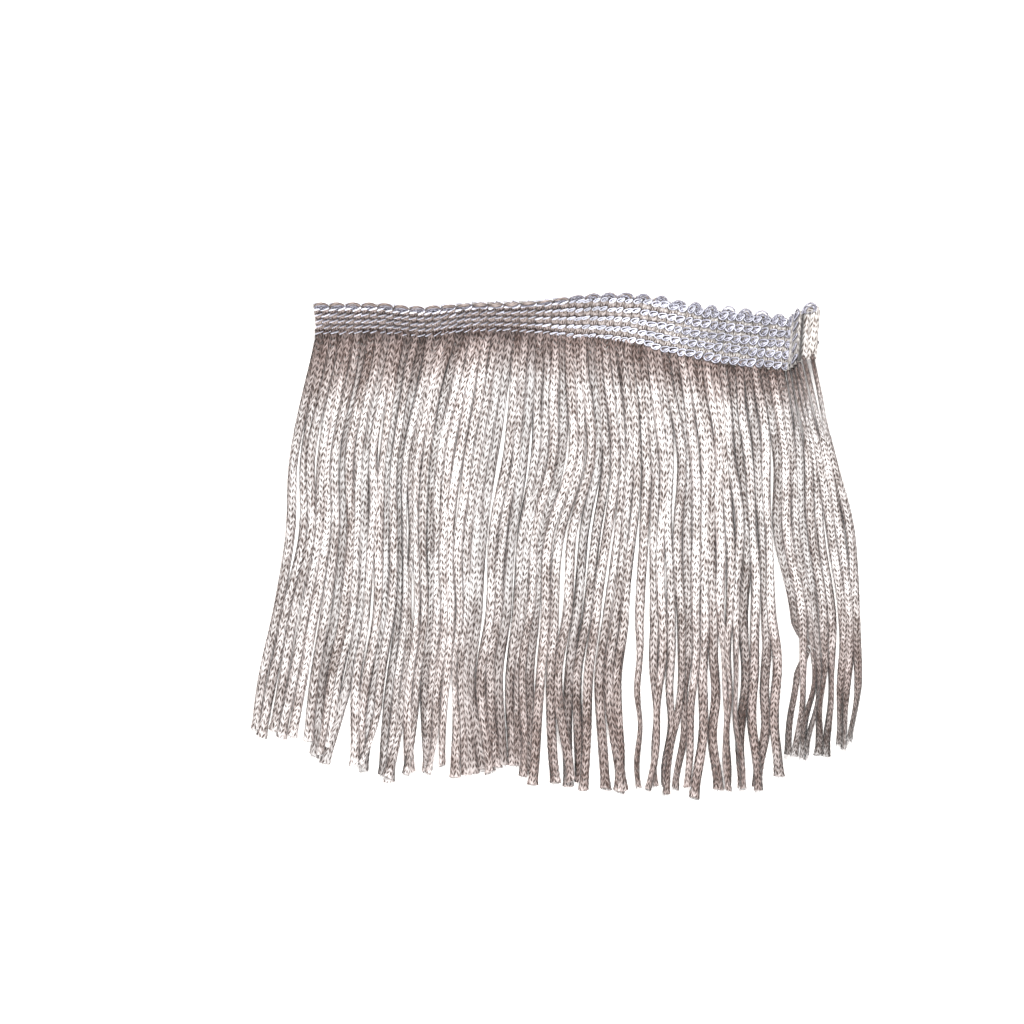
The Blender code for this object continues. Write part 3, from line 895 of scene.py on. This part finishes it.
def makeLegs():
    radius = legPitch / 2
    turn = np.linspace(np.pi, 0, legs["turnSteps"])
    rise = np.linspace(legs["foot"], legs["top"], legs["risePlaces"])[:-1]
    places = np.vstack((
        np.column_stack((np.full(len(rise), legPitch / 2), rise)),
        np.column_stack((legPitch + radius * np.cos(turn), legs["top"] + radius * np.sin(turn))),
        np.column_stack((np.full(len(rise), legPitch * 1.5), rise[::-1])),
    ))
    places = np.column_stack((places, np.full(len(places), legs["depth"])))
    pair = cutCord(lengthsBetween(places).sum(), 0.0, 1.0, legs["roll"], 1.0)
    bendAlong(pair, places, np.zeros(len(places)), np.full(len(places), legs["size"]))
    repeated(pair, tape["legs"] // 2, 2 * legPitch)
    flat = pointsOf(pair)
    flat[:, 2] = legs["depth"] + (flat[:, 2] - legs["depth"]) * legs["flatness"]
    movePoints(pair, flat)
    tones = np.array([chance.uniform(*legs["tones"]) for _ in range(tape["legs"] + 1)])
    tones = tones[np.clip(flat[:, 0] // legPitch, 0, tape["legs"]).astype(int)]
    # painted shade under the rows, where the tape stands up, on the turns there and in the gap at the
    # curled end, and a warm tint where the tape stands up
    covered = flat[:, 0] < tape["length"] - pillars["bareLegs"] * legPitch
    tones = tones * np.where(covered, underRows(flat[:, 1]), 1.0)
    leaning = np.sin(leanAt(flat[:, 0]))
    onTurn = flat[:, 1] > legs["top"]
    tones = tones * (1 - leaning * np.where(onTurn, legs["topShade"], legs["leanShade"]))
    mark(pair, "warmShade", leaning)
    gap = flat[:, 0] - (tape["legs"] - legs["gapBefore"]) * legPitch
    mark(pair, "tone", tones * (1 - legs["gapShade"] * bell(gap, legs["gapSpan"])))
    layOnTape(pair)
    pair.data.materials[0] = headingSilk
    pair.name = "headingLegs"
    return pair


# the thin ground behind the legs, dimmed to painted shade
ground = {
    "foot": -0.2,
    "top": 9.3,
    "depth": 0.6,
    "thickness": 0.4,
    "columnsPerLeg": 4,
    "rows": 12,
    "tone": 0.5,
}


def makeGround():
    columns = tape["legs"] * ground["columnsPerLeg"]
    bpy.ops.mesh.primitive_grid_add(
        x_subdivisions=columns, y_subdivisions=ground["rows"], size=2, calc_uvs=True)
    piece = newPiece()
    flat = (pointsOf(piece) + 1) / 2
    along = flat[:, 0] * tape["length"]
    height = ground["foot"] + flat[:, 1] * (ground["top"] - ground["foot"])
    movePoints(piece, np.column_stack((along, height, np.full(len(flat), ground["depth"]))))
    applied(piece, "SOLIDIFY", thickness=ground["thickness"], offset=0.0)
    # painted shade over the whole ground
    mark(piece, "tone", ground["tone"])
    layOnTape(piece)
    smooth(piece)
    piece.data.materials.append(headingSilk)
    piece.name = "headingGround"
    return piece


# the arcs of yarn over each picot
picotArcs = {
    "halfWidth": 1.34,
    "height": 1.75,
    "foot": 9.2,
    "depth": 1.1,
    "yarn": 0.165,
    "segments": 16,
    "sides": 5,
    "arcs": 3,
    "tone": 0.8,
    "spread": 0.34,  # how far each arc lies inside the last
    "raisedShare": 0.5,  # of that, by which it stands above the last
    "footShare": 0.2,  # of its height, that its foot goes down
    "leanNarrowing": 0.5,
    "jitter": 0.14,
    "crestFrom": 0.3,
    "crossings": 7,  # of each arc by the stitches that hold it
    "crossShift": 2.2,  # in radians, from one arc to the next
    # how much shade is painted where they cross
    "crossShade": 0.75,
}


def yarnRing(radius, segments, sides):
    # a ring of yarn and its points, how far each lies out from its middle line and the angle round it
    bpy.ops.mesh.primitive_torus_add(
        major_segments=segments, minor_segments=sides, major_radius=1.0, minor_radius=radius)
    piece = newPiece()
    ring = pointsOf(piece)
    return piece, ring, np.hypot(ring[:, 0], ring[:, 1]) - 1, np.arctan2(ring[:, 1], ring[:, 0])


def unevenness(count, amount):
    # for each of so many loops, a random amount along each axis
    return stitchChance.uniform(-1, 1, (count, 1, 3)) * amount


def chainLoop(name, upward, count):
    # a drawn-out loop of yarns side by side, their tubes kept round
    yarn = pillars["yarn"]
    yarns = []
    for length, width, low in pillars["yarns"][:count]:
        piece, ring, out, angle = yarnRing(yarn, pillars["segments"], pillars["sides"])
        x = (length - yarn + out) * np.cos(angle)
        y = (width - yarn) * (1 - pillars["farNarrowing"] * np.cos(angle))
        y = (y + out) * np.sin(angle) - low
        movePoints(piece, np.column_stack((x, y, ring[:, 2] * upward)))
        # painted light on the top of each yarn, painted shade on its lower side, on the loop's sunk side
        # and where the next stitch crosses it
        sunk = 1 - pillars["sunkShade"] * np.clip(np.sin(angle), 0, 1)
        crossed = bell(np.abs(angle) - pillars["crossAngle"], pillars["crossSpan"])
        sunk = sunk * (1 - pillars["crossShade"] * crossed)
        mark(piece, "crest", np.clip(ring[:, 2] / yarn, 0, 1) * sunk)
        yarns.append(piece)
    loop = joined(yarns, name)
    leaning = Matrix.Rotation(math.radians(pillars["turn"]), 4, "Z")
    diving = Matrix.Rotation(math.radians(pillars["dive"]) * upward, 4, "Y")
    sinking = Matrix.Rotation(-math.radians(pillars["sink"]) * upward, 4, "X")
    loop.data.transform(leaning @ diving @ sinking)
    mark(loop, "tone", 1.0)
    return loop


def makePillars(name, depth, upward, yarns, first, count):
    # the rows of loops, one for each of so many legs from the first
    loop = chainLoop(name, upward, yarns)
    loopPoints = len(loop.data.vertices)
    loop.data.transform(Matrix.Translation((legPitch * (first + 0.5), 0, depth)))
    repeated(loop, count, legPitch)
    rows = []
    for height in rowHeights:
        twin = copyOf(loop)
        twin.data.transform(Matrix.Translation((0, height, 0)))
        rows.append(twin)
    bpy.data.objects.remove(loop)
    whole = joined(rows, name)
    faceOut(whole)
    # no two loops lie quite alike, and the rows rise a little over each picot, the top one most
    flat = pointsOf(whole).reshape(-1, loopPoints, 3)
    middles = flat.mean(1, keepdims=True)
    lean = leanAt(middles[..., 0])[..., None]
    narrow = 1 - np.sin(lean) * (pillars["leanShortening"], pillars["leanNarrowing"], 0)
    sizes = 1 + unevenness(len(flat), pillars["jitter"])
    moved = unevenness(len(flat), pillars["jitter"]) * (1, 1, pillars["depthJitter"])
    top = middles[..., 1:2] > pillars["lastRow"] - 1
    overPicot = np.cos(math.pi * (middles[..., 0:1] / legPitch - 1))
    moved[..., 1:2] += overPicot * np.where(top, pillars["topGarland"], pillars["garland"])
    turn = math.radians(pillars["turn"])
    offset = flat - middles
    swing = stitchChance.uniform(-1, 1, (len(flat), 1, 1))
    swing = swing * math.radians(pillars["turnJitter"])
    offset = np.concatenate((
        offset[..., 0:1] * np.cos(swing) - offset[..., 1:2] * np.sin(swing),
        offset[..., 0:1] * np.sin(swing) + offset[..., 1:2] * np.cos(swing),
        offset[..., 2:3],
    ), -1)
    aside = offset[..., 1:2] * math.cos(turn) - offset[..., 0:1] * math.sin(turn)
    moved = moved + aside * np.sin(lean) * pillars["leanRise"] * upward * (0, 0, 1)
    movePoints(whole, middles + offset * sizes * narrow + moved)
    # painted light where the tape stands up: fuller crests and a lighter tone
    full = np.sin(lean) * pillars["leanCrestLight"] * np.ones_like(aside)
    mark(whole, "fullness", full.ravel())
    tones = stitchChance.uniform(*pillars["tones"], len(flat))
    tones = tones * (1 + pillars["leanLight"] * np.sin(lean[:, 0, 0]))
    mark(whole, "tone", np.repeat(tones, loopPoints))
    layOnTape(whole)
    smooth(whole)
    whole.data.materials.append(pillarSilk)
    return whole


def makePicotArcs():
    # the yarn carried over each picot in arcs, whose feet run along the top row
    arcs = []
    for number in range(picotArcs["arcs"]):
        piece, ring, out, angle = yarnRing(picotArcs["yarn"], picotArcs["segments"], picotArcs["sides"])
        inset = number * picotArcs["spread"]
        x = (picotArcs["halfWidth"] - inset + out) * np.cos(angle)
        y = (picotArcs["height"] - inset + out) * np.sin(angle)
        y = np.where(y > 0, y, y * picotArcs["footShare"])
        movePoints(piece, np.column_stack((x, y, ring[:, 2] + inset * picotArcs["raisedShare"])))
        # painted shade where the stitches cross each arc, and painted light on the arcs' tops
        crossing = np.cos(picotArcs["crossings"] * angle + picotArcs["crossShift"] * number)
        crossed = 1 - picotArcs["crossShade"] * (0.5 + 0.5 * crossing)
        crest = (1 - picotArcs["crestFrom"]) * ring[:, 2] / picotArcs["yarn"]
        mark(piece, "crest", np.clip(picotArcs["crestFrom"] + crest, 0, 1) * crossed)
        arcs.append(piece)
    arcPoints = len(ring)
    arc = joined(arcs, "picotArcs")
    arc.data.transform(Matrix.Translation((legPitch, picotArcs["foot"], picotArcs["depth"])))
    repeated(arc, tape["legs"] // 2, 2 * legPitch)
    mark(arc, "tone", picotArcs["tone"])
    flat = pointsOf(arc).reshape(-1, arcPoints, 3)
    middles = flat.mean(1, keepdims=True)
    sizes = 1 + unevenness(len(flat), picotArcs["jitter"])
    moved = unevenness(len(flat), picotArcs["jitter"])
    flat = (middles + (flat - middles) * sizes + moved).reshape(-1, 3)
    leaning = np.sin(leanAt(flat[:, 0]))
    flat[:, 1] -= (flat[:, 1] - picotArcs["foot"]) * picotArcs["leanNarrowing"] * leaning
    movePoints(arc, flat)
    layOnTape(arc)
    smooth(arc)
    arc.data.materials.append(pillarSilk)
    return arc


headingLegs = makeLegs()
headingGround = makeGround()
front, back = pillars["frontDepth"], pillars["backDepth"]
bareFrom, lastChain = tape["legs"] - pillars["bareLegs"], tape["legs"] - pillars["lastFrom"]
frontPillars = joined([
    makePillars("frontPillars", front, upward=1, yarns=2, first=0, count=bareFrom),
    makePillars("endPillars", front, upward=1, yarns=1, first=lastChain, count=1),
], "frontPillars")
backPillars = makePillars("backPillars", back, upward=-1, yarns=1, first=0, count=tape["legs"])
picots = makePicotArcs()
bpy.data.objects.remove(cordMaster)
print("heading made")
headingPieces = [headingLegs, headingGround, frontPillars, backPillars, picots]
trimPieces = [*fringePieces, cutEnds, *headingPieces]
triangles = {
    piece.name: sum(len(face.vertices) - 2 for face in piece.data.polygons) for piece in trimPieces
}
print("triangles", sum(triangles.values()), triangles)


# everything to metres, riding on the frame
cadShift = (0.03, 0.03, 0.0)  # the frame is centred on its box
clearance = 0.02  # over the surface it is pressed flat on
for piece in trimPieces:
    movePoints(piece, np.maximum(pointsOf(piece), (-np.inf, -np.inf, clearance)))
    piece.data.transform(Matrix.Scale(mm, 4) @ Matrix.Translation(cadShift))
    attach(piece, "root")
for piece in (*fringePieces, cutEnds):
    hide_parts("fringe")
for piece in headingPieces:
    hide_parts("heading")


studio = {
    "floorSize": 3.0,
    "floorColour": (0.94, 0.895, 0.87),
    "floorRoughness": 0.9,
    "floorSpecular": 0.1,
    "cameraAt": (-9.0, 6.4),
    "frameWidth": 206.8,  # what the picture shows of the surface
    "lens": 180,
    "sensor": 36,
    "clipEnd": 10,
    "world": 0.36,
    "floorGlow": 0.12,
    "lamps": (
        # name, place in metres, size, power
        ("keySoftbox", (0.06, 0.42, 0.55), 0.2, 7.0),
        ("fillSoftbox", (-0.1, -0.55, 0.55), 0.4, 8.5),
    ),
}


def makeStudio():
    bpy.ops.mesh.primitive_plane_add(size=studio["floorSize"])
    floor = bpy.context.object
    floor.name = "floor"
    paper, tree, shader = material("paper")
    setSockets(shader, {
        "Base Color": (*studio["floorColour"], 1),
        "Roughness": studio["floorRoughness"],
        "Specular IOR Level": studio["floorSpecular"],
        "Emission Color": (1, 1, 1, 1),
        "Emission Strength": studio["floorGlow"],
    })
    floor.data.materials.append(paper)
    world = bpy.data.worlds.new("studio")
    bpy.context.scene.world = world
    world.use_nodes = True
    sky = world.node_tree.nodes["Background"]
    setSockets(sky, {"Strength": studio["world"], "Color": (1, 1, 1, 1)})
    for name, place, size, power in studio["lamps"]:
        lamp = bpy.data.lights.new(name, "AREA")
        lamp.size = size
        lamp.energy = power
        holder = added(bpy.data.objects.new(name, lamp))
        holder.location = place
        holder.rotation_mode = "QUATERNION"
        holder.rotation_quaternion = holder.location.to_track_quat("Z", "Y")
    camera = bpy.data.cameras.new("camera")
    camera.sensor_width = studio["sensor"]
    camera.lens = studio["lens"]
    camera.clip_end = studio["clipEnd"]
    eye = added(bpy.data.objects.new("camera", camera))
    across, up = (value * mm for value in studio["cameraAt"])
    eye.location = (across, up, studio["frameWidth"] * mm * studio["lens"] / studio["sensor"])
    bpy.context.scene.camera = eye
    bpy.context.scene.view_settings.view_transform = "Standard"


makeStudio()
